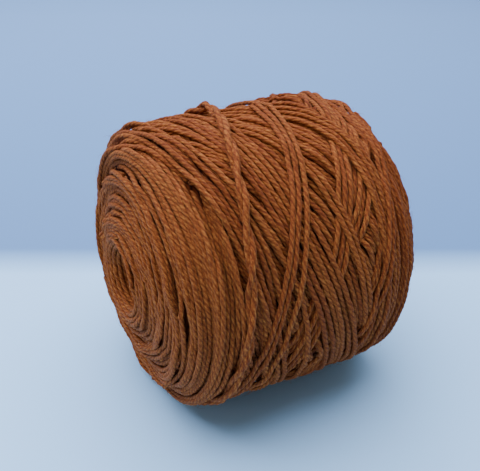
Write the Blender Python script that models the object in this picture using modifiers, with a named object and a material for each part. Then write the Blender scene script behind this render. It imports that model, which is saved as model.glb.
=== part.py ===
"""Cone of yarn: a short, fat package of plied yarn, wound criss-cross and lying on its side.

One wound body with a bore right through it, and the main turns that lie proud of its surface.
Metres, +Z up. The axis of the package runs along X, and the wide end is at +X.
The origin is on the ground below the middle of the package.
"""
import math
from collections import namedtuple

import bmesh
import bpy
from mathutils import Matrix, Vector

MM = 0.001

# Driving sizes of the wound body, in millimetres
BODY_RADIUS = 56.8
BODY_LENGTH = 113.7
TAPER = 0.0176  # share by which the radius grows from the middle to the wide end
BORE_RADIUS = 11.0
MOUTH_FLARE = 5.0
MOUTH_DEPTH = 8.0
FLAT_DEPTH = 0.8  # how far the package is pressed flat where it lies on the ground
AXIS_OFFSET = (0.6, 0.1)  # brings the middle of the package, with its proud turns, over the origin
HALF_LENGTH = BODY_LENGTH / 2

# The two ends round off as super-ellipses: 1 - |x / half length| ** power, raised to 1 / root
EndShape = namedtuple("EndShape", "power root")
NARROW_END = EndShape(power=8.58, root=3.14)
WIDE_END = EndShape(power=3.99, root=1.86)

# How finely the body is turned
SIDES = 64
END_RINGS = 11
MOUTH_RINGS = 3

# The main turns, in millimetres and degrees
YARN = 1.05  # radius of one strand of the yarn
TWISTED_PAIR = 1.6  # radius around two strands that are twisted together
ROUTE_STEP = 8.0  # degrees around the body between two points of a turn
DIVE_DEGREES = 9.0  # the stretch over which a turn sinks under its neighbours
DIVE_DEPTH = 2.6
ARCH_DEGREES = 108.0  # where the proud turn lifts as it comes over the top
ARCH_WIDTH = 9.0

# Each turn is a row of its route. Degrees go around the body from the front, 90 on top and 180
# behind. Millimetres run along the axis from the middle. bow is how far the route's middle lies
# off the straight line, strands is how many lie side by side, step is how far apart they are
# along the axis, proud is how far the yarn stands above the body, arch is how much further it
# lifts on top, and radius is the yarn's own.
Turn = namedtuple("Turn", "from_deg from_mm to_deg to_mm bow strands step proud arch radius")
TURNS = {
    "proud_turn": Turn(150, -1.5, -70, -43.0, -3.3, 1, 0.0, 2.2, 0.8, TWISTED_PAIR),
    "rising_pair": Turn(111, 6.0, -25, -34.0, 9.5, 2, -2.4, 1.4, 0.0, YARN),
    "rising_band": Turn(55, 19.0, -35, -17.0, 0.0, 3, 2.3, 1.2, 0.0, YARN),
    "rising_right": Turn(62, 38.0, -20, 16.0, 0.0, 2, 2.3, 0.8, 0.0, YARN),
    "falling_lower": Turn(42, -30.0, -48, -11.9, 0.0, 1, 0.0, 1.1, 0.0, YARN),
    "falling_middle": Turn(45, -22.0, -45, -6.0, 5.4, 1, 0.0, 1.1, 0.0, YARN),
    "falling_group": Turn(82, -25.0, 40, 1.5, 0.0, 4, 2.4, 0.8, 0.0, YARN),
    "falling_top": Turn(104, -6.0, 30, 29.5, 11.0, 4, -2.4, 0.9, 0.0, YARN),
    "falling_front": Turn(50, -7.0, -5, 12.0, 0.0, 2, 2.4, 0.7, 0.0, YARN),
    "falling_left": Turn(110, -44.0, 40, -22.5, 0.0, 3, 2.3, 0.8, 0.0, YARN),
    "left_band": Turn(115, -46.0, -60, -47.0, 3.0, 2, 2.4, 0.8, 0.0, YARN),
    "back_rising": Turn(243, 24.0, 160, -14.0, 0.0, 2, -2.4, 1.1, 0.0, YARN),
    "back_falling": Turn(236, -20.0, 135, 16.0, 0.0, 2, 2.4, 0.9, 0.0, YARN),
    "back_right": Turn(210, 14.0, 120, 40.0, 0.0, 1, 0.0, 0.8, 0.0, YARN),
    "back_left": Turn(225, -38.0, 130, -30.0, -4.0, 1, 0.0, 0.8, 0.0, YARN),
}

# Colours as linear values
YARN_COLOUR = (0.37, 0.13, 0.035, 1.0)


def body_radius(x):
    """Outer radius at x along the axis: a slightly tapered cylinder with super-ellipse ends."""
    u = x / HALF_LENGTH
    end = NARROW_END if u < 0 else WIDE_END
    rounding = max(0.0, 1 - abs(u) ** end.power) ** (1 / end.root)
    return BODY_RADIUS * (1 + TAPER * u) * rounding


def end_points(end, side):
    """Radius and place along the axis of the rings from the middle out to the mouth of the bore.

    The place is sin(a) ** (2 / power) of the half length, where a grows in even steps from 0
    until the radius has come down to the edge of the mouth.
    """
    mouth_radius = BORE_RADIUS + MOUTH_FLARE
    last = math.acos((mouth_radius / BODY_RADIUS) ** (end.root / 2))
    points = []
    for ring in range(1, END_RINGS + 1):
        x = side * HALF_LENGTH * math.sin(last * ring / END_RINGS) ** (2 / end.power)
        points.append((body_radius(x), x))
    return points


def mouth_points(face_x, side):
    """The flared mouth: a quarter ellipse from the end face down to the wall of the bore."""
    points = []
    for ring in range(1, MOUTH_RINGS + 1):
        a = math.pi / 2 * ring / MOUTH_RINGS
        radius = BORE_RADIUS + MOUTH_FLARE * (1 - math.sin(a))
        points.append((radius, face_x - side * MOUTH_DEPTH * (1 - math.cos(a))))
    return points


def body_profile():
    """The closed outline that is turned: down the outer side, then back up the bore."""
    wide = end_points(WIDE_END, 1)
    narrow = end_points(NARROW_END, -1)
    wide_mouth = mouth_points(wide[-1][1], 1)
    narrow_mouth = mouth_points(narrow[-1][1], -1)
    middle = [(body_radius(0.0), 0.0)]
    return wide_mouth[::-1] + wide[::-1] + middle + narrow + narrow_mouth


def new_collection(name):
    collection = bpy.data.collections.new(name)
    bpy.context.scene.collection.children.link(collection)
    return collection


def yarn_material():
    material = bpy.data.materials.new("wound_yarn")
    material.use_nodes = True
    shader = material.node_tree.nodes["Principled BSDF"]
    shader.inputs["Base Color"].default_value = YARN_COLOUR
    shader.inputs["Roughness"].default_value = 0.9
    shader.inputs["Metallic"].default_value = 0.0
    return material


def body_placement():
    """Turns the profile's own Z axis to +X and tips it until the tapered lower side lies level."""
    tip = math.atan(TAPER * BODY_RADIUS / HALF_LENGTH)
    turn = Matrix.Rotation(math.pi / 2 - tip, 4, "Y")
    height = (BODY_RADIUS - FLAT_DEPTH) * MM
    return Matrix.Translation((AXIS_OFFSET[0] * MM, AXIS_OFFSET[1] * MM, height)) @ turn


def turned_body(collection, placement):
    mesh = bpy.data.meshes.new("wound_yarn")
    profile = [(radius * MM, 0.0, x * MM) for radius, x in body_profile()]
    count = len(profile)
    mesh.from_pydata(profile, [(i, (i + 1) % count) for i in range(count)], [])
    body = bpy.data.objects.new("wound_yarn", mesh)
    collection.objects.link(body)
    body.matrix_world = placement
    screw = body.modifiers.new("turned", "SCREW")
    screw.axis = "Z"
    screw.steps = SIDES
    screw.render_steps = SIDES
    screw.use_merge_vertices = True
    screw.merge_threshold = 0.00005
    return body


def turn_route(turn, strand):
    """Points along one strand of a turn, in the profile's own frame, in metres.

    Its place along the axis is the straight line between its ends, plus the bow as a parabola.
    Its height is the body's radius, plus the arch as a bell curve, and both ends sink under the
    surface along a cosine.
    """
    sweep = abs(turn.to_deg - turn.from_deg)
    count = max(4, round(sweep / ROUTE_STEP))
    points = []
    for i in range(count + 1):
        w = i / count
        degrees = turn.from_deg + (turn.to_deg - turn.from_deg) * w
        x = turn.from_mm + (turn.to_mm - turn.from_mm) * w
        x += turn.bow * 4 * w * (1 - w) + turn.step * strand
        from_end = min(w, 1 - w) * sweep
        sink = 0.5 + 0.5 * math.cos(math.pi * min(1.0, from_end / DIVE_DEGREES))
        arch = turn.arch * math.exp(-(((degrees - ARCH_DEGREES) / ARCH_WIDTH) ** 2))
        height = body_radius(x) + turn.proud - turn.radius - DIVE_DEPTH * sink + arch
        angle = math.radians(degrees)
        points.append(Vector((-height * math.sin(angle), -height * math.cos(angle), x)) * MM)
    return points


def yarn_tube(name, points, radius, collection, placement):
    """One strand as a closed round tube: a curve made a mesh, with its end caps welded on."""
    curve = bpy.data.curves.new(name, "CURVE")
    curve.dimensions = "3D"
    curve.bevel_depth = radius * MM
    curve.bevel_resolution = 2
    curve.use_fill_caps = True
    spline = curve.splines.new("POLY")
    spline.points.add(len(points) - 1)
    for point, place in zip(spline.points, points):
        point.co = (*place, 1.0)
    guide = bpy.data.objects.new(name + "_guide", curve)
    collection.objects.link(guide)
    guide.matrix_world = placement
    bpy.context.view_layer.update()
    evaluated = guide.evaluated_get(bpy.context.evaluated_depsgraph_get())
    mesh = bpy.data.meshes.new_from_object(evaluated)
    shape = bmesh.new()
    shape.from_mesh(mesh)
    bmesh.ops.remove_doubles(shape, verts=shape.verts, dist=0.00001)
    bmesh.ops.recalc_face_normals(shape, faces=shape.faces)
    shape.to_mesh(mesh)
    shape.free()
    tube = bpy.data.objects.new(name, mesh)
    collection.objects.link(tube)
    tube.matrix_world = guide.matrix_world
    bpy.data.objects.remove(guide)
    tube.hide_render = True
    tube.display_type = "WIRE"
    return tube


def ground_block(collection):
    """The block below the ground that the package is pressed flat against."""
    size = 2 * BODY_LENGTH * MM
    bpy.ops.mesh.primitive_cube_add(size=size, location=(0.0, 0.0, -size / 2))
    block = bpy.context.object
    block.name = "ground_block"
    for other in block.users_collection:
        other.objects.unlink(block)
    collection.objects.link(block)
    block.hide_render = True
    block.display_type = "WIRE"
    return block


def main():
    for thing in list(bpy.data.objects):
        bpy.data.objects.remove(thing)
    parts = new_collection("cone_of_yarn")
    strands = new_collection("main_turns")
    cutters = new_collection("cutters")
    placement = body_placement()
    body = turned_body(parts, placement)
    body.data.materials.append(yarn_material())
    for name, turn in TURNS.items():
        for strand in range(turn.strands):
            yarn_tube(f"{name}_{strand}", turn_route(turn, strand), turn.radius, strands, placement)
    union = body.modifiers.new("main_turns", "BOOLEAN")
    union.operation = "UNION"
    union.operand_type = "COLLECTION"
    union.collection = strands
    union.solver = "EXACT"
    flat = body.modifiers.new("flat_spot", "BOOLEAN")
    flat.operation = "DIFFERENCE"
    flat.object = ground_block(cutters)
    flat.solver = "EXACT"


main()
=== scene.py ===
"""Looks of the cone of yarn: every visible turn of plied yarn, laid one on another as on a winder."""
import math
from collections import namedtuple

import bpy
import numpy as np
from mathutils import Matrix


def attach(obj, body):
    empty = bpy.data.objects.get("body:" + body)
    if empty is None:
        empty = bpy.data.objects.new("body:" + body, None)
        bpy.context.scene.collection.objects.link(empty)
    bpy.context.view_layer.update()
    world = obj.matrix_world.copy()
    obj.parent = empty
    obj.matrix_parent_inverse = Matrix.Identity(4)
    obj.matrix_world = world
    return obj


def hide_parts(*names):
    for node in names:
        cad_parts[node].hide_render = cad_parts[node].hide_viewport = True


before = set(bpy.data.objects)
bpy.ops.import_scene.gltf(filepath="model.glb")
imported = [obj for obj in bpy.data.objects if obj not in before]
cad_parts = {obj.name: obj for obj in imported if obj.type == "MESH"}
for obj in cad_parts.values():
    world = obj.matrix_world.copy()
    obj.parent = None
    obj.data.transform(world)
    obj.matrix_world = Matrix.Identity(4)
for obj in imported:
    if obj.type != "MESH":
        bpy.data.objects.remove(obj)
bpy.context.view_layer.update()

MM = 0.001

# The wound body, as the frame has it, in millimetres
BODY_RADIUS = 56.8
BODY_LENGTH = 113.7
TAPER = 0.0176
BORE_RADIUS = 11.0
MOUTH_FLARE = 5.0
MOUTH_DEPTH = 8.0
FLAT_DEPTH = 0.8
AXIS_OFFSET = (0.6, 0.1)
HALF_LENGTH = BODY_LENGTH / 2
EndShape = namedtuple("EndShape", "power root")
NARROW_END = EndShape(power=8.58, root=3.14)
WIDE_END = EndShape(power=3.99, root=1.86)

# The yarn: three plies with an S twist
YARN_RADIUS = 1.02
PLIES = 3
LAY = 9.6  # length of one full twist of the plies
GROOVE = 0.17  # how far the groove between two plies cuts in, as a share of the radius
SOFTNESS = 0.88  # how thick a strand stays where others press on it

# The winding is worked out on a grid that is unrolled over the surface
CELL = 0.35  # along the profile
COLUMNS = 1020  # around the axis
CELL_DEGREES = 360 / COLUMNS
LAY_STEP = 0.6  # between two points of a strand while it is laid
RING_EVERY = 2  # points of a strand to one ring of its mesh
RING_SIDES = 9
DEEP_SIDES = 6  # for the layers that show only between the turns above them
DEEP_LAYERS = ("under", "cross")
SEED = 7


def profile_curve():
    """The package's profile as arrays: distance along it from the middle, place, radius, normal.

    The radius is BODY_RADIUS * (1 + TAPER * u) * (1 - |u| ** power) ** (1 / root), where u is the
    place along the axis as a share of the half length. Each end goes on over the flared mouth of
    the bore as a quarter ellipse.
    """
    mouth_radius = BORE_RADIUS + MOUTH_FLARE
    halves = []
    for side, end in ((-1, NARROW_END), (1, WIDE_END)):
        last = math.acos((mouth_radius / BODY_RADIUS) ** (end.root / 2))
        a = last * np.linspace(0, 1, 1200) ** 0.5
        u = side * np.sin(a) ** (2 / end.power)
        u[0] = 0.0
        radius = BODY_RADIUS * (1 + TAPER * u) * (1 - np.abs(u) ** end.power) ** (1 / end.root)
        b = np.linspace(0, np.pi / 2, 60)[1:]
        mouth = BORE_RADIUS + (radius[-1] - BORE_RADIUS) * (1 - np.sin(b))
        mouth_place = u[-1] * HALF_LENGTH - side * MOUTH_DEPTH * (1 - np.cos(b))
        halves.append((np.append(u * HALF_LENGTH, mouth_place), np.append(radius, mouth)))
    place = np.concatenate([halves[0][0][:0:-1], halves[1][0]])
    radius = np.concatenate([halves[0][1][:0:-1], halves[1][1]])
    along = np.concatenate([[0.0], np.cumsum(np.hypot(np.diff(place), np.diff(radius)))])
    along -= np.interp(0.0, place[600:-600], along[600:-600])
    slope_x = np.gradient(place, along)
    slope_r = np.gradient(radius, along)
    scale = np.hypot(slope_x, slope_r)
    return along, place, radius, -slope_r / scale, slope_x / scale


ALONG, PLACE, RADIUS, NORMAL_X, NORMAL_R = profile_curve()
ALONG_LOW = ALONG[0]
ALONG_HIGH = ALONG[-1]
ROWS = int((ALONG_HIGH - ALONG_LOW) / CELL) + 1


def radius_at(along):
    return np.interp(along, ALONG, RADIUS)


def on_surface(along, degrees, height):
    """Points at a height above the surface, and the surface's normals there, in the frame, in mm.

    Degrees go round from the front: 90 is on top and 180 behind. The axis is tipped until the
    tapered lower side lies level, and then moved to its place over the ground.
    """
    angle = np.radians(degrees)
    out_x = np.interp(along, ALONG, NORMAL_X)
    out_r = np.interp(along, ALONG, NORMAL_R)
    x = np.interp(along, ALONG, PLACE) + out_x * height
    r = radius_at(along) + out_r * height
    point = np.stack([x, -r * np.cos(angle), r * np.sin(angle)], -1)
    normal = np.stack([out_x, -out_r * np.cos(angle), out_r * np.sin(angle)], -1)
    tip = math.atan(TAPER * BODY_RADIUS / HALF_LENGTH)
    turn = np.array([[math.cos(tip), 0, math.sin(tip)], [0, 1, 0], [-math.sin(tip), 0, math.cos(tip)]])
    shift = np.array([AXIS_OFFSET[0], AXIS_OFFSET[1], BODY_RADIUS - FLAT_DEPTH])
    return point @ turn + shift, normal @ turn


Strand = namedtuple("Strand", "along degrees centre rows columns tops shown layer lay tone thick")


def even_steps(along, degrees, step):
    """The same route with its points an even distance apart on the surface."""
    r = radius_at(along)
    arc = np.radians(np.diff(degrees)) * (r[1:] + r[:-1]) / 2
    length = np.concatenate([[0.0], np.cumsum(np.hypot(np.diff(along), arc))])
    even = np.linspace(0, length[-1], max(8, int(length[-1] / step)))
    return np.interp(even, length, along), np.interp(even, length, degrees)


def smoothed(values, width):
    """Running mean with the weights of a bell curve, whose half width is given in points."""
    reach = int(3 * width)
    weights = np.exp(-0.5 * (np.arange(-reach, reach + 1) / width) ** 2)
    padded = np.pad(values, reach, mode="edge")
    return np.convolve(padded, weights / weights.sum(), mode="valid")


def highest_near(values, reach):
    padded = np.pad(values, reach, mode="edge")
    return np.lib.stride_tricks.sliding_window_view(padded, 2 * reach + 1).max(-1)


class Winding:
    """The height of what is wound so far, on a grid over the surface, and the strands in order."""

    def __init__(self):
        self.height = np.full((ROWS, COLUMNS), DEEPEST)
        self.strands = []
        self.random = np.random.default_rng(SEED)

    def lay(self, along, degrees, layer, dive=(0.0, 0.0), lay=LAY, thick=1.0):
        """Rests one strand on what is already wound.

        At each point the strand's centre is as high as its round underside allows over the grid.
        A stretched strand rides from crest to crest: the highest value nearby, then a running
        mean, less the give of soft yarn. A long strand is laid in stretches of less than a turn,
        so that each turn rests on the one before. A dive length sinks that end along a cosine.
        """
        along, degrees = even_steps(along, degrees, LAY_STEP)
        r = radius_at(along)
        arc = np.gradient(np.radians(degrees)) * r
        run = np.gradient(along)
        length = np.hypot(arc, run)
        across = np.linspace(-0.96, 0.96, 9) * YARN_RADIUS * thick
        dome = np.sqrt((YARN_RADIUS * thick) ** 2 - across**2) * SOFTNESS
        side_along = along[:, None] - (arc / length)[:, None] * across
        side_degrees = degrees[:, None] + np.degrees((run / length / r)[:, None] * across)
        rows = np.clip(((side_along - ALONG_LOW) / CELL).astype(int), 0, ROWS - 1)
        columns = np.floor(side_degrees / CELL_DEGREES).astype(int) % COLUMNS
        centre = np.zeros(len(along))
        stretch = np.floor((degrees - degrees[0]) / STRETCH_DEGREES).astype(int)
        starts = np.append(np.flatnonzero(np.diff(stretch, prepend=-1)), len(along))
        written = 0
        for first, last in zip(starts[:-1], starts[1:]):
            low = max(first - MARGIN, 0)
            high = min(last + MARGIN, len(along))
            ground = (self.height[rows[low:high], columns[low:high]] + dome)[:, 1:-1].max(1)
            rest = smoothed(highest_near(ground, 3), 6.0)
            rest = np.maximum(rest - GIVE, ground - 2 * GIVE)
            centre[first:last] = rest[first - low : last - low]
            done = slice(written, max(written, last - MARGIN))
            np.maximum.at(self.height, (rows[done], columns[done]), centre[done, None] + dome)
            written = done.stop
        travelled = np.concatenate([[0.0], np.cumsum(length[1:])])
        for end, far in ((dive[0], travelled), (dive[1], travelled[-1] - travelled)):
            if end > 0:
                centre = centre - DIVE_DEPTH * (0.5 + 0.5 * np.cos(np.pi * np.minimum(far / end, 1)))
        tops = centre[:, None] + dome
        np.maximum.at(self.height, (rows, columns), tops)
        tone = self.random.random()
        shown = np.ones(len(along), bool)
        self.strands.append(Strand(along, degrees, centre, rows, columns, tops, shown, layer, lay, tone, thick))
        return self.strands[-1]

    def settle(self):
        """Presses the winding even and tight, as its tension does.

        What lies deeper than BURIED stays buried. The smoothed height of the strands is taken off
        every strand, and what is left is drawn in by TIGHTNESS. The grid is mirrored at both
        ends, runs on round the axis, and is blurred by a bell curve, without its empty cells.
        """
        tall = np.concatenate([self.height[::-1], self.height, self.height[::-1]])
        wound = tall > DEEPEST
        rows = np.fft.fftfreq(tall.shape[0], CELL)[:, None]
        columns = np.fft.rfftfreq(COLUMNS, CELL_DEGREES)[None, :]
        blur = np.exp(-2 * np.pi**2 * LEVEL_BLUR**2 * (rows**2 + columns**2))
        total = np.fft.irfft2(np.fft.rfft2(tall * wound) * blur, s=tall.shape)
        share = np.fft.irfft2(np.fft.rfft2(wound) * blur, s=tall.shape)
        level = (total / np.maximum(share, 0.05))[ROWS : 2 * ROWS]
        for strand in self.strands:
            covered = self.height[strand.rows, strand.columns]
            strand.shown[:] &= (strand.tops > covered - BURIED).mean(1) > 0.3
        self.height[:] = DEEPEST
        for strand in self.strands:
            dome = strand.tops[:1] - strand.centre[0]
            strand.centre[:] -= level[strand.rows[:, 4], strand.columns[:, 4]]
            strand.centre[:] *= TIGHTNESS
            strand.tops[:] = strand.centre[:, None] + dome
            seen = strand.shown
            np.maximum.at(self.height, (strand.rows[seen], strand.columns[seen]), strand.tops[seen])


LEVEL_BLUR = 3.5
DEEPEST = -3.0
GIVE = 0.3
STRETCH_DEGREES = 220.0
MARGIN = 30
DIVE_DEPTH = 3.5
DIVE_LENGTH = 14.0
TIGHTNESS = 0.98
BURIED = 0.5
BOTTOM = -90.0


def wavering(random, degrees, size):
    """A slow sideways waver of a strand: two sines round the axis with random phases."""
    a = np.radians(degrees)
    first, second = random.random(2) * 2 * np.pi
    return size * (0.7 * np.sin(a + first) + 0.3 * np.sin(2 * a + second))


def wind_rings(winding, low, high, pitch, tilt, lean, layer, thick=1.0):
    """One long strand wound in turns side by side.

    Two sines that don't repeat from turn to turn tilt each turn a little against the next, by the
    length of tilt on the side of the package and by less towards the bore. All turns lean
    together too: they reach furthest right at LEAN_TOP degrees, by the length of lean on the side
    and by less over the end faces.
    """
    turns = int((high - low) / pitch)
    degrees = np.arange(0, 360 * turns + 1) + BOTTOM
    start = low + pitch * (degrees - BOTTOM) / 360
    face = np.interp(start, LEAN_FADE, (0, 1, 1, 0))
    calm = np.interp(np.minimum(start - ALONG_LOW, ALONG_HIGH - start), (10, 30), (0.04, 1))
    first, second = winding.random.random(2) * 2 * np.pi
    a = np.radians(degrees)
    waver = np.sin(0.93 * a + first) + 0.8 * np.sin(1.13 * a + second)
    along = start + tilt * calm * waver + lean * face * np.cos(a - math.radians(LEAN_TOP))
    winding.lay(np.clip(along, ALONG_LOW + 1, ALONG_HIGH - 1), degrees, layer, thick=thick)


LEAN_TOP = 28.0
LEAN_FADE = (-88.0, -50.0, 50.0, 84.0)


def wind_cross(winding, middle, reach, periods, first, rounds, layer):
    """Criss-cross turns: the guide swings to and fro as a sine while the package turns.

    periods is how many swings it makes in one turn, so neighbouring rounds lie side by side. The
    reach itself swells and shrinks slowly, by a sixteenth, so that the turning points spread.
    """
    degrees = np.arange(360 * first, 360 * (first + rounds) + 1) + BOTTOM
    a = np.radians(degrees - BOTTOM)
    swing = reach * (1 + 0.06 * np.sin(0.39 * a))
    winding.lay(middle + swing * np.sin(periods * a), degrees, layer)


Bundle = namedtuple("Bundle", "strands step route")

# Each route is a row of places, as degrees round the axis and millimetres along the profile
FALLING = {
    "upper_wide": Bundle(14, 2.4, (
        (250, -62), (180, -64), (128, -50), (100, -34), (70, -14), (40, 5), (10, 20), (-30, 34), (-105, 42),
    )),
    "upper_left": Bundle(13, 2.3, (
        (250, -82), (180, -84), (128, -72), (100, -60), (70, -44), (40, -30), (10, -18), (-30, -6), (-105, 6),
    )),
    "upper_right": Bundle(12, 2.3, (
        (250, -36), (180, -34), (128, -18), (100, -2), (70, 17), (40, 31), (10, 38), (-30, 42), (-105, 44),
    )),
    "lower_left": Bundle(10, 2.15, (
        (250, -64), (180, -64), (110, -58), (60, -50), (30, -41), (0, -31), (-30, -21), (-105, -8),
    )),
    "lower_right": Bundle(10, 2.3, (
        (250, -20), (180, -26), (110, -24), (60, -9), (30, 4), (0, 14), (-30, 22), (-105, 30),
    )),
}
RISING = {
    "right_arcs": Bundle(9, 2.1, (
        (250, 10), (180, 30), (128, 44), (90, 45), (50, 41), (20, 33), (0, 25), (-20, 14), (-50, -4), (-105, -22),
    )),
    "low_front": Bundle(6, 2.2, (
        (200, 24), (120, 38), (80, 36), (50, 24), (20, 7), (-10, -8), (-40, -21), (-105, -36),
    )),
    "low_right": Bundle(6, 2.2, (
        (200, 44), (120, 46), (60, 45), (20, 38), (-10, 28), (-40, 14), (-70, 0), (-105, -14),
    )),
}
MIXED = {
    "left_fan": Bundle(5, 2.3, (
        (240, -66), (170, -62), (118, -50), (86.8, -40), (70, -35), (55.8, -30), (30, -25), (0, -22),
        (-40, -18), (-105, -14),
    )),
    "front_falling": Bundle(4, 2.4, (
        (200, -48), (130, -42), (83, -24), (70, -17.5), (60, -11), (50, -4.5), (36, 2.5), (16, 9),
        (-20, 17), (-105, 24),
    )),
    "band_rising": Bundle(3, 2.3, (
        (200, 22), (120, 36), (80, 26), (43.7, 14.5), (26.9, 8.5), (8.8, 2), (-8, -6.2), (-40, -18), (-105, -30),
    )),
    "top_falling": Bundle(4, 2.3, (
        (230, -38), (160, -34), (120, -16), (104, -4), (88.7, 8.8), (72.6, 20), (59.8, 25.2), (47.9, 27.5),
        (20, 29), (-30, 27), (-105, 24),
    )),
    "small_falling": Bundle(2, 2.3, (
        (200, -40), (130, -30), (100, -21), (82.8, -11), (74.9, -5.4), (66.7, -0.5), (50, 6), (20, 13),
        (-20, 20), (-105, 26),
    )),
    "lower_falling": Bundle(2, 2.3, (
        (200, -52), (120, -46), (70, -38), (29.8, -27.7), (9.8, -24.3), (-6, -21.2), (-30, -16.1), (-105, -6),
    )),
    "middle_falling": Bundle(1, 2.3, (
        (200, -46), (120, -42), (60, -27), (29.8, -17), (18, -12.7), (7.8, -10.2), (-15, -7.4), (-105, -2),
    )),
    "right_rising": Bundle(2, 2.3, (
        (200, 44), (120, 46), (62, 38), (30, 31), (0, 22), (-20, 16), (-105, -2),
    )),
    "lower_group": Bundle(6, 2.3, (
        (200, -36), (120, -26), (60, -13), (30, -6), (0, 3), (-20, 8), (-40, 13), (-105, 24),
    )),
}
LAST = {
    "pair": Bundle(2, 2.2, (
        (240, -6), (180, 4), (130, 6), (97, 4.3), (84.8, 3.4), (71.6, 2), (59.8, -0.3), (47.9, -3.7),
        (31.8, -9.9), (14, -16.1), (-3, -22.6), (-30, -31), (-105, -44),
    )),
    "third": Bundle(1, 2.2, (
        (240, 4), (180, 12), (130, 12), (97, 9), (75, 6.6), (50, 1.0), (31.8, -5.4), (14, -11.0),
        (-3, -17.0), (-30, -25), (-105, -38),
    )),
}
PROUD_ROUTE = (
    (240, -24), (170, -22), (140, -18), (126, -14), (118, -11.5), (111, -10.2), (104, -10.8), (89.7, -14.4),
    (70, -19.2), (53.9, -23.5), (35.8, -26.9), (20, -29.4), (-15, -35.1), (-30, -37.6), (-60, -42), (-105, -46),
)


def route_line(route):
    """A route with rounded corners: straight between its places, then a running mean."""
    places = np.array(route, float)[::-1]
    degrees = np.arange(places[0, 0], places[-1, 0] + 0.5)
    return smoothed(np.interp(degrees, places[:, 0], places[:, 1]), 7.0), degrees


def lay_bundle(winding, bundle, layer):
    """The strands of a bundle side by side, each at a small angle of its own."""
    line, degrees = route_line(bundle.route)
    for i in range(bundle.strands):
        shift = bundle.step * (i - (bundle.strands - 1) / 2)
        turn = 0.009 * winding.random.standard_normal() * (degrees - 40)
        waver = wavering(winding.random, degrees * 2, 0.3)
        winding.lay(line + shift + turn + waver, degrees, layer, dive=(DIVE_LENGTH, DIVE_LENGTH))


def lay_proud_turn(winding):
    """The loose outermost turn: two strands twisted round each other, standing proud of the rest.

    Each strand swings sideways and up and down about the common route, half a twist apart. On top
    the turn stands off in a loop, lifted along a bell curve.
    """
    line, degrees = route_line(PROUD_ROUTE)
    travelled = np.radians(degrees[-1] - degrees) * BODY_RADIUS
    before = winding.height.copy()
    for half in (0.0, np.pi):
        winding.height[:] = before
        angle = 2 * np.pi * travelled / PROUD_LAY + half
        dive = (DIVE_LENGTH, DIVE_LENGTH)
        swing = PROUD_SWING * np.cos(angle)
        strand = winding.lay(line + swing, degrees, "proud", dive=dive, lay=PROUD_PLY_LAY, thick=1.2)
        lift = 2 * np.pi * np.interp(strand.degrees, degrees, travelled) / PROUD_LAY + half
        loop = LOOP_HEIGHT * np.exp(-(((strand.degrees - LOOP_DEGREES) / LOOP_WIDTH) ** 2))
        free = np.interp(strand.degrees, (-65, -35, 112, 126), (0, 1, 1, 0))
        strand.centre[:] += PROUD_SWING * (1.1 + np.sin(lift)) * free + loop


PROUD_LAY = 34.0
PROUD_PLY_LAY = 14.0
PROUD_SWING = 0.85
LOOP_HEIGHT = 2.0
LOOP_DEGREES = 107.0
LOOP_WIDTH = 6.0


def wind_package():
    winding = Winding()
    wind_rings(winding, ALONG_LOW + 1, ALONG_HIGH - 1, 2.0, 0.4, 0.0, "under")
    winding.settle()
    for part in range(4):
        wind_cross(winding, -4.0, 38.0, 0.866, 20 * part, 20, "cross")
        winding.settle()
    for table in (FALLING, RISING):
        for bundle in table.values():
            lay_bundle(winding, bundle, "field")
            winding.settle()
    for inset in (4.0, 0.0):
        wind_rings(winding, ALONG_LOW + 2, -38.0 - inset, 1.7, 1.9, 8.0, "left", thick=0.94)
        wind_rings(winding, 30.0 + inset, ALONG_HIGH - 2, 1.75, 1.7, 5.0, "right", thick=0.92)
        winding.settle()
    for bundle in MIXED.values():
        lay_bundle(winding, bundle, "mixed")
    winding.settle()
    for bundle in LAST.values():
        lay_bundle(winding, bundle, "last")
    winding.settle()
    lay_proud_turn(winding)
    return winding


def shown_runs(winding, strand):
    """The stretches of a strand that nothing covers, as pairs of first and last point."""
    covered = winding.height[strand.rows, strand.columns]
    clear = strand.shown & ((strand.tops > covered - 0.1)[:, 1:-1].mean(1) > 0.25)
    clear = highest_near(clear.astype(int), 5) > 0
    edges = np.flatnonzero(np.diff(np.concatenate([[0], clear.astype(int), [0]])))
    return [(a, b) for a, b in zip(edges[::2], edges[1::2]) if b - a > 14]


Swell = namedtuple("Swell", "degrees along height degrees_width along_width")
SKIN = -1.9
SWELLS = {
    "top_hollow": Swell(110.0, -5.0, -3.0, 26.0, 18.0),
    "top_right": Swell(108.0, 37.0, 1.2, 22.0, 12.0),
    "right_rim": Swell(112.0, 60.0, -1.3, 18.0, 10.0),
    "low_right": Swell(-62.0, 42.0, 1.5, 18.0, 16.0),
    "low_left": Swell(-52.0, -26.0, -1.6, 14.0, 12.0),
    "low_left_rim": Swell(-82.0, -52.0, -1.7, 26.0, 14.0),
    "left_back": Swell(172.0, -62.0, -1.2, 45.0, 16.0),
    "left_face": Swell(0.0, -70.0, -1.2, 400.0, 9.0),
    "left_mouth": Swell(0.0, -88.0, 1.8, 400.0, 9.0),
    "right_mouth": Swell(0.0, 88.0, 1.2, 400.0, 6.0),
}


def skin_height(along, degrees):
    """Height of the outer turns' common level: even, but for bell-shaped swells and hollows."""
    height = np.full(len(along), SKIN)
    for swell in SWELLS.values():
        turned = (degrees - swell.degrees + 180) % 360 - 180
        far = (turned / swell.degrees_width) ** 2 + ((along - swell.along) / swell.along_width) ** 2
        height += swell.height * np.exp(-far)
    return height


def tucked(count):
    """How far the ends of a shown stretch are tucked under what covers them, along a cosine."""
    end = np.minimum(np.arange(count), np.arange(count)[::-1])
    return TUCK * (0.5 + 0.5 * np.cos(np.pi * np.minimum(end / 5, 1)))


TUCK = 1.1


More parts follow.
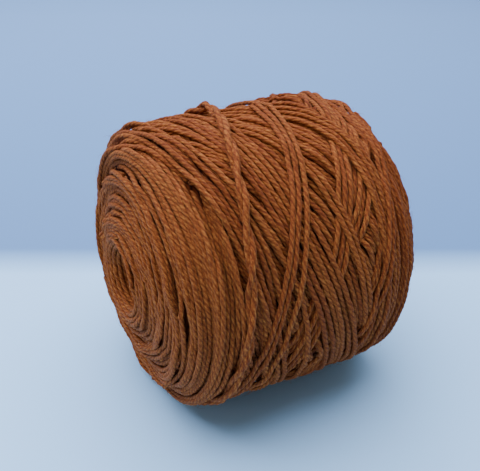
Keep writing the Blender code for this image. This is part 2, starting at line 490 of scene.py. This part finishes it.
def ring_shape(sides):
    """Angle and radius of one ring: round plies with a groove between each two of them."""
    angle = np.arange(sides) * 2 * np.pi / sides
    crest = np.abs(np.sin(PLIES * angle / 2))
    return angle, YARN_RADIUS * (1 - GROOVE * (1 - crest) ** 1.3), crest


def tube_mesh(point, normal, lay, phase, thick, sides):
    """A closed tube of twisted plies along a path.

    Each ring is the shape of ring_shape in the plane across the path, turned back by one full
    turn for each lay length, which makes an S twist. Two sines along the strand make it a little
    thicker and thinner, and one moves it sideways, as the hand-soft yarn is.
    """
    tangent = np.gradient(point, axis=0)
    step = np.linalg.norm(tangent, axis=1)
    tangent /= step[:, None]
    side = np.cross(tangent, normal)
    side /= np.linalg.norm(side, axis=1)[:, None]
    out = np.cross(side, tangent)
    travelled = np.concatenate([[0.0], np.cumsum(step[1:])])
    angle, radius, crest = ring_shape(sides)
    turned = angle[None, :] - 2 * np.pi * travelled[:, None] / lay + phase
    count = len(point)
    uneven = 1 + 0.035 * np.sin(travelled / 2.7 + 3 * phase) + 0.03 * np.sin(travelled / 1.1 + 5 * phase)
    aside = 0.08 * np.sin(travelled / 1.3 + 7 * phase)
    spread = thick * uneven[:, None, None] * radius[None, :, None] * (
        np.cos(turned)[..., None] * out[:, None] * SOFTNESS + np.sin(turned)[..., None] * side[:, None]
    )
    rings = (point + aside[:, None] * side)[:, None] + spread
    vertices = np.concatenate([rings.reshape(-1, 3), point[:1], point[-1:]])
    i = np.arange(count - 1)[:, None] * sides
    j = np.arange(sides)[None, :]
    k = (j + 1) % sides
    quads = np.stack([i + j, i + k, i + sides + k, i + sides + j], -1).reshape(-1, 4)
    first = np.stack([np.full(sides, count * sides), k[0], j[0]], -1)
    base = (count - 1) * sides
    last = np.stack([np.full(sides, count * sides + 1), base + j[0], base + k[0]], -1)
    caps = np.concatenate([first, last])
    # the ply crest value of each point: 1 on a crest, 0 in a groove; it sets the painted shade in the grooves
    groove_painted_shade = np.concatenate([np.tile(crest, count), [0.5, 0.5]])
    length = np.concatenate([np.repeat(travelled, sides), [0.0, travelled[-1]]])
    round_x = np.concatenate([np.tile(np.cos(angle), count), [0.0, 0.0]])
    round_y = np.concatenate([np.tile(np.sin(angle), count), [0.0, 0.0]])
    return vertices, quads, caps, groove_painted_shade, np.stack([length, round_x, round_y], -1)


def build_piece(name, tubes, material):
    """One mesh from many tubes, with each point's ply crest (which sets the painted shade in the grooves), strand
    tone and place in the fibres.

    The place in the fibres is the length along the strand in millimetres, moved on by a different
    amount for each strand, and the cosine and sine of the angle among the plies.
    """
    vertices = []
    quads = []
    caps = []
    crest = []
    tone = []
    fibre = []
    start = 0
    for v, q, c, groove_painted_shade, place, strand_tone in tubes:
        vertices.append(v)
        quads.append(q + start)
        caps.append(c + start)
        crest.append(groove_painted_shade)
        tone.append(np.full(len(v), strand_tone))
        fibre.append(place + [strand_tone * 997, 0, 0])
        start += len(v)
    vertices = np.concatenate(vertices)
    vertices[:, 2] = np.maximum(vertices[:, 2], 0.05)
    quads = np.concatenate(quads)
    caps = np.concatenate(caps)
    mesh = bpy.data.meshes.new(name)
    mesh.vertices.add(len(vertices))
    mesh.vertices.foreach_set("co", (vertices * MM).ravel())
    corners = np.concatenate([quads.ravel(), caps.ravel()])
    mesh.loops.add(len(corners))
    mesh.loops.foreach_set("vertex_index", corners)
    mesh.polygons.add(len(quads) + len(caps))
    starts = np.concatenate([np.arange(len(quads)) * 4, len(quads) * 4 + np.arange(len(caps)) * 3])
    mesh.polygons.foreach_set("loop_start", starts)
    mesh.update(calc_edges=True)
    mesh.polygons.foreach_set("use_smooth", np.ones(len(mesh.polygons), bool))
    for label, values in (("crest", crest), ("tone", tone)):
        attribute = mesh.attributes.new(label, "FLOAT", "POINT")
        attribute.data.foreach_set("value", np.concatenate(values).astype(np.float32))
    attribute = mesh.attributes.new("fibre", "FLOAT_VECTOR", "POINT")
    attribute.data.foreach_set("vector", np.concatenate(fibre).astype(np.float32).ravel())
    mesh.materials.append(material)
    piece = bpy.data.objects.new(name, mesh)
    bpy.context.scene.collection.objects.link(piece)
    print(name, len(quads) * 2 + len(caps), "triangles")
    return piece


FIBRES = 2200
FIBRE_RADIUS = 0.05
FIBRE_RINGS = 5
HAIRY_LAYERS = ("field", "left", "right", "mixed", "last", "proud")


def loose_fibres(winding):
    """Fine hair on the yarn: thin closed tubes that leave a strand, arch up and come to an end.

    Each starts at a random shown point, runs for its length at its own angle to the strand, and
    lifts off by a share of its length along half a sine. The tube is three-sided and tapers.
    """
    strands = [s for s in winding.strands if s.layer in HAIRY_LAYERS]
    seen = [s.shown & ((s.tops > winding.height[s.rows, s.columns] - 0.1).mean(1) > 0.6) for s in strands]
    along = np.concatenate([s.along[k] for s, k in zip(strands, seen)])
    degrees = np.concatenate([s.degrees[k] for s, k in zip(strands, seen)])
    height = np.concatenate([s.centre[k] for s, k in zip(strands, seen)])
    random = winding.random
    pick = random.integers(0, len(along), FIBRES)
    start, normal = on_surface(along[pick], degrees[pick], height[pick] + skin_height(along[pick], degrees[pick]))
    around = np.cross(np.array([1.0, 0.0, 0.0]), normal)
    around /= np.linalg.norm(around, axis=1)[:, None]
    across = np.cross(normal, around)
    turn = random.normal(0, 0.6, FIBRES) + np.pi * random.integers(0, 2, FIBRES)
    way = np.cos(turn)[:, None] * around + np.sin(turn)[:, None] * across
    long = random.uniform(2.0, 5.5, FIBRES)
    lift = long * random.uniform(0.08, 0.3, FIBRES)
    share = np.linspace(0, 1, FIBRE_RINGS)
    bend = random.normal(0, 0.35, FIBRES)[:, None] * share**2
    path = start[:, None] + normal[:, None] * (YARN_RADIUS * 0.75 + lift[:, None] * np.sin(np.pi * 0.7 * share))[..., None]
    path += way[:, None] * (long[:, None] * share)[..., None]
    path += np.cross(way, normal)[:, None] * (long[:, None] * bend)[..., None]
    angle = np.arange(3) * 2 * np.pi / 3
    side = np.cross(way, normal)
    ring = np.cos(angle)[:, None] * normal[:, None] + np.sin(angle)[:, None] * side[:, None]
    thin = FIBRE_RADIUS * (1 - 0.7 * share)
    vertices = (path[:, :, None] + thin[:, None, None] * ring[:, None]).reshape(-1, 3)
    i = np.arange(FIBRE_RINGS - 1)[:, None] * 3
    j = np.arange(3)[None, :]
    k = (j + 1) % 3
    quads = np.stack([i + j, i + 3 + j, i + 3 + k, i + k], -1).reshape(-1, 4)
    last = (FIBRE_RINGS - 1) * 3
    caps = np.array([[0, 1, 2], [last, last + 2, last + 1]])
    first = np.arange(FIBRES) * FIBRE_RINGS * 3
    quads = (quads[None] + first[:, None, None]).reshape(-1, 4)
    caps = (caps[None] + first[:, None, None]).reshape(-1, 3)
    place = np.repeat(np.stack([random.uniform(0, 90, FIBRES), random.random(FIBRES), random.random(FIBRES)], -1), FIBRE_RINGS * 3, axis=0)
    return [(vertices, quads, caps, np.full(len(vertices), 0.9), place, 0.8)]


def core_piece(material):
    """The closed body under the shown turns: the profile sunk by two strands, and the bore."""
    sides = 96
    inner = 4.6
    step = max(1, len(ALONG) // 80)
    pick = np.arange(0, len(ALONG), step)
    degrees = np.arange(sides) * 360 / sides
    along = np.repeat(ALONG[pick], sides)
    around = np.tile(degrees, len(pick))
    point, _ = on_surface(along, around, -inner)
    point[:, 2] = np.maximum(point[:, 2], 0.8)
    rings = len(pick)
    i = np.arange(rings)[:, None] * sides
    j = np.arange(sides)[None, :]
    k = (j + 1) % sides
    after = (i + sides) % (rings * sides)
    faces = np.stack([i + j, i + k, after + k, after + j], -1).reshape(-1, 4)
    mesh = bpy.data.meshes.new("wound_core")
    mesh.from_pydata((point * MM).tolist(), [], faces.tolist())
    mesh.polygons.foreach_set("use_smooth", np.ones(len(mesh.polygons), bool))
    mesh.materials.append(material)
    piece = bpy.data.objects.new("wound_core", mesh)
    bpy.context.scene.collection.objects.link(piece)
    return piece


def linear(code):
    """A colour given as an sRGB hex code, as linear values."""
    parts = [int(code[i : i + 2], 16) / 255 for i in (1, 3, 5)]
    return [c / 12.92 if c <= 0.04045 else ((c + 0.055) / 1.055) ** 2.4 for c in parts] + [1.0]


def add_node(tree, kind, links=(), **settings):
    """Adds a node, sets its properties and sockets by name, and links (socket, source) pairs."""
    node = tree.nodes.new(kind)
    for key, value in settings.items():
        if hasattr(node, key):
            setattr(node, key, value)
        else:
            node.inputs[key.replace("_", " ")].default_value = value
    for socket, source in links:
        tree.links.new(source, node.inputs[socket])
    return node


def yarn_material():
    """Plied wool-like yarn: matt and slightly hairy.

    Streaks of noise run with the fibres of each ply and mix red-brown with golden brown. The
    grooves between plies get painted shade, darker and redder, from the ply crest. The same streaks raise the
    fibres a little, and a faint sheen stands for the hair on the surface.
    """
    material = bpy.data.materials.new("plied_wool_yarn")
    material.use_nodes = True
    tree = material.node_tree
    shader = tree.nodes["Principled BSDF"]
    tone = add_node(tree, "ShaderNodeAttribute", attribute_name="tone")
    crest = add_node(tree, "ShaderNodeAttribute", attribute_name="crest")
    fibre = add_node(tree, "ShaderNodeAttribute", attribute_name="fibre")
    stretch = add_node(tree, "ShaderNodeVectorMath", [(0, fibre.outputs["Vector"])], operation="MULTIPLY")
    stretch.inputs[1].default_value = (0.45, 1.6, 1.6)
    streaks = add_node(
        tree, "ShaderNodeTexNoise", [("Vector", stretch.outputs["Vector"])], Scale=2.2, Detail=3.0, Roughness=0.65
    )
    mix = add_node(tree, "ShaderNodeMath", [(0, tone.outputs["Fac"]), (2, streaks.outputs["Fac"])], operation="MULTIPLY_ADD")
    mix.inputs[1].default_value = 0.07
    hue = add_node(tree, "ShaderNodeValToRGB", [("Fac", mix.outputs[0])])
    stops = hue.color_ramp.elements
    stops[0].position = 0.34
    stops[0].color = linear("#652408")
    stops[1].position = 0.74
    stops[1].color = linear("#CC8038")
    middle = stops.new(0.54)
    middle.color = linear("#944617")
    # painted shade: the ramp darkens and reddens each groove between plies, where the crest value is low, and
    # leaves the crests unshaded
    groove_painted_shade = add_node(tree, "ShaderNodeValToRGB", [("Fac", crest.outputs["Fac"])])
    groove_painted_shade.color_ramp.elements[0].color = (0.5, 0.32, 0.24, 1)
    groove_painted_shade.color_ramp.elements[1].position = 0.85
    tint = add_node(tree, "ShaderNodeMix", data_type="RGBA", blend_type="MULTIPLY")
    tint.inputs["Factor"].default_value = 1.0
    tree.links.new(hue.outputs["Color"], tint.inputs["A"])
    tree.links.new(groove_painted_shade.outputs["Color"], tint.inputs["B"])
    tree.links.new(tint.outputs["Result"], shader.inputs["Base Color"])
    bump = add_node(tree, "ShaderNodeBump", [("Height", streaks.outputs["Fac"])], Strength=0.6, Distance=0.0003)
    tree.links.new(bump.outputs["Normal"], shader.inputs["Normal"])
    shader.inputs["Roughness"].default_value = 0.9
    shader.inputs["Specular IOR Level"].default_value = 0.2
    shader.inputs["Sheen Weight"].default_value = 0.12
    shader.inputs["Sheen Roughness"].default_value = 0.5
    shader.inputs["Sheen Tint"].default_value = linear("#E0A870")
    return material


def core_material():
    """Yarn deep in the winding: red-brown darkened by painted shade, nearly black between the turns, in soft
    bands of 2 mm.

    The bands are waves across the axis that stand for the buried turns, broken up by noise; their dark troughs
    are painted shade between the turns.
    """
    material = bpy.data.materials.new("deep_yarn_painted_shade")
    material.use_nodes = True
    tree = material.node_tree
    shader = tree.nodes["Principled BSDF"]
    coordinates = add_node(tree, "ShaderNodeTexCoord")
    bands = add_node(
        tree, "ShaderNodeTexWave", [("Vector", coordinates.outputs["Object"])],
        bands_direction="X", Scale=160.0, Distortion=3.0, Detail=2.0, Detail_Scale=1.5,
    )
    hue = add_node(tree, "ShaderNodeValToRGB", [("Fac", bands.outputs["Fac"])])
    # painted shade: both stops are far darker than the yarn's own red-brown, for deep turns that the light hardly
    # reaches
    hue.color_ramp.elements[0].color = linear("#2E0F04")
    hue.color_ramp.elements[1].color = linear("#6B2E10")
    tree.links.new(hue.outputs["Color"], shader.inputs["Base Color"])
    shader.inputs["Roughness"].default_value = 1.0
    shader.inputs["Specular IOR Level"].default_value = 0.1
    return material


def place_camera():
    """The camera stands at the photograph's angle: left of the front and above the package."""
    stand = (math.radians(-28.11), math.radians(30.62))
    aim = (math.radians(-26.82), math.radians(30.22))
    distance = 322.3
    centre = np.array([AXIS_OFFSET[0], AXIS_OFFSET[1], BODY_RADIUS - FLAT_DEPTH])
    away = np.array([
        math.sin(stand[0]) * math.cos(stand[1]),
        -math.cos(stand[0]) * math.cos(stand[1]),
        math.sin(stand[1]),
    ])
    camera_data = bpy.data.cameras.new("camera")
    camera_data.lens = 60.0
    camera_data.sensor_width = 36.0
    camera = bpy.data.objects.new("camera", camera_data)
    bpy.context.scene.collection.objects.link(camera)
    camera.location = (centre + distance * away) * MM
    camera.rotation_euler = (math.pi / 2 - aim[1], 0.0, aim[0])
    bpy.context.scene.camera = camera


def place_stage():
    mesh = bpy.data.meshes.new("floor")
    size = 4.0
    mesh.from_pydata([(-size, -size, 0), (size, -size, 0), (size, size, 0), (-size, size, 0)], [], [(0, 1, 2, 3)])
    floor = bpy.data.objects.new("floor", mesh)
    bpy.context.scene.collection.objects.link(floor)
    material = bpy.data.materials.new("pale_paper")
    material.use_nodes = True
    tree = material.node_tree
    shader = tree.nodes["Principled BSDF"]
    coordinates = add_node(tree, "ShaderNodeTexCoord")
    away = add_node(tree, "ShaderNodeVectorMath", [(0, coordinates.outputs["Object"])], operation="DOT_PRODUCT")
    away.inputs[1].default_value = (0.451, 0.892, 0.0)
    far = add_node(tree, "ShaderNodeMapRange", [("Value", away.outputs["Value"])])
    far.inputs["From Min"].default_value = 0.03
    far.inputs["From Max"].default_value = 0.55
    paper = add_node(tree, "ShaderNodeValToRGB", [("Fac", far.outputs["Result"])])
    stops = paper.color_ramp.elements
    stops[0].position = 0.062
    stops[0].color = linear("#BCE4FF")
    stops[1].color = linear("#88A9CF")
    behind = stops.new(0.11)
    behind.color = linear("#6E90B6")
    tree.links.new(paper.outputs["Color"], shader.inputs["Base Color"])
    shader.inputs["Roughness"].default_value = 0.8
    mesh.materials.append(material)
    world = bpy.data.worlds.new("studio")
    bpy.context.scene.world = world
    world.use_nodes = True
    world.node_tree.nodes["Background"].inputs["Color"].default_value = linear("#DCE6F2")
    world.node_tree.nodes["Background"].inputs["Strength"].default_value = 0.3


def area_light(name, location, target, size, power, colour):
    data = bpy.data.lights.new(name, "AREA")
    data.size = size
    data.energy = power
    data.color = linear(colour)[:3]
    light = bpy.data.objects.new(name, data)
    bpy.context.scene.collection.objects.link(light)
    light.location = location
    gap = np.array(target) - np.array(location)
    azimuth = math.atan2(gap[1], gap[0])
    light.rotation_euler = (math.atan2(np.hypot(gap[0], gap[1]), -gap[2]), 0.0, azimuth - math.pi / 2)
    return light


def main():
    place_camera()
    place_stage()
    area_light("above", (-0.06, 0.2, 0.8), (0, 0, 0.05), 1.3, 29.0, "#CCDEFF")
    area_light("front", (-0.7, -0.45, 0.35), (0, 0, 0.05), 0.6, 0.9, "#E8EEFF")
    yarn = yarn_material()
    core = core_piece(core_material())
    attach(core, "root")
    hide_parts("wound_yarn")
    winding = wind_package()
    tubes = {}
    total = 0.0
    for strand in winding.strands:
        for first, last in shown_runs(winding, strand):
            pick = slice(first, last, RING_EVERY)
            along = strand.along[pick]
            degrees = strand.degrees[pick]
            height = (strand.centre[first:last] - tucked(last - first))[::RING_EVERY]
            point, normal = on_surface(along, degrees, height + skin_height(along, degrees))
            total += (last - first) * LAY_STEP
            phase = winding.random.random() * 2 * np.pi
            lay = strand.lay * (1 + 0.12 * winding.random.standard_normal())
            sides = DEEP_SIDES if strand.layer in DEEP_LAYERS else RING_SIDES
            mesh = tube_mesh(point, normal, lay, phase, strand.thick, sides)
            tubes.setdefault(strand.layer, []).append(mesh + (strand.tone,))
    print("shown metres", total / 1000)
    tubes["loose"] = loose_fibres(winding)
    for layer, found in tubes.items():
        sizes = np.cumsum([len(t[0]) * 2 for t in found])
        groups = (sizes / 190000).astype(int)
        for g in range(groups.max() + 1):
            piece = build_piece(f"{layer}_turns_{g + 1}", [t for t, n in zip(found, groups) if n == g], yarn)
            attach(piece, "root")
            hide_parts("wound_yarn")


main()
